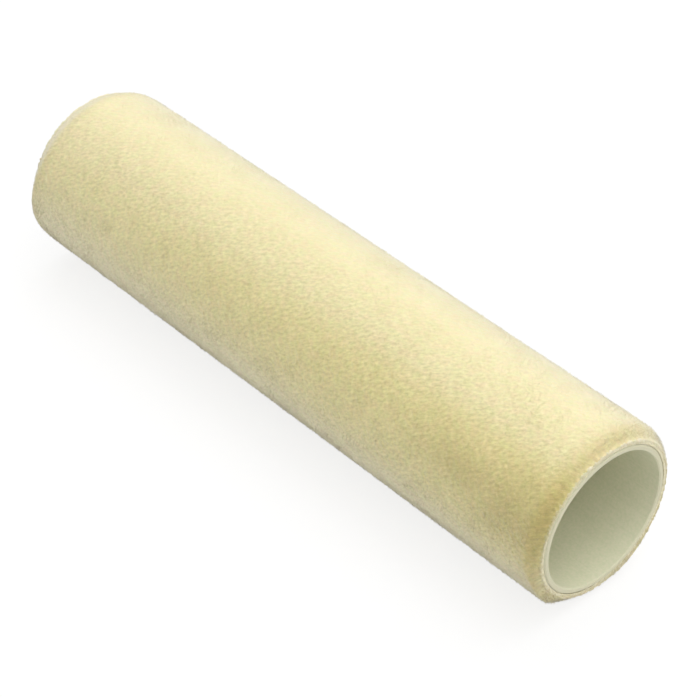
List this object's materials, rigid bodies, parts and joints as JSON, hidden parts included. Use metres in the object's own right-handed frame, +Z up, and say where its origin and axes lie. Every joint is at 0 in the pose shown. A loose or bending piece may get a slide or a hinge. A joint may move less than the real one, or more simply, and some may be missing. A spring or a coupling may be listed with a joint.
{
  "type": "paint roller sleeve",
  "caption": "Slip-on refill sleeve for a hand paint roller: open plastic core tube, helically wound pile fabric, cream short nap with bevelled ends.",
  "frame": {"origin": "middle of the core tube's bore, half way between its two cut ends", "axes": "+X along the bore towards the mouth, +Z up when the sleeve lies on its side, +Y completes the right-handed frame"},
  "size_m": [0.2286, 0.0566, 0.0566],
  "materials": {
    "core_plastic": "satin",
    "hot_melt": "satin",
    "backing_cloth": "matte",
    "pile": "matte"
  },
  "bodies": {
    "root": {"core_tube": "core_plastic", "adhesive_film": "hot_melt", "backing_strip": "backing_cloth", "nap_pile": "pile"}
  },
  "joints": []
}
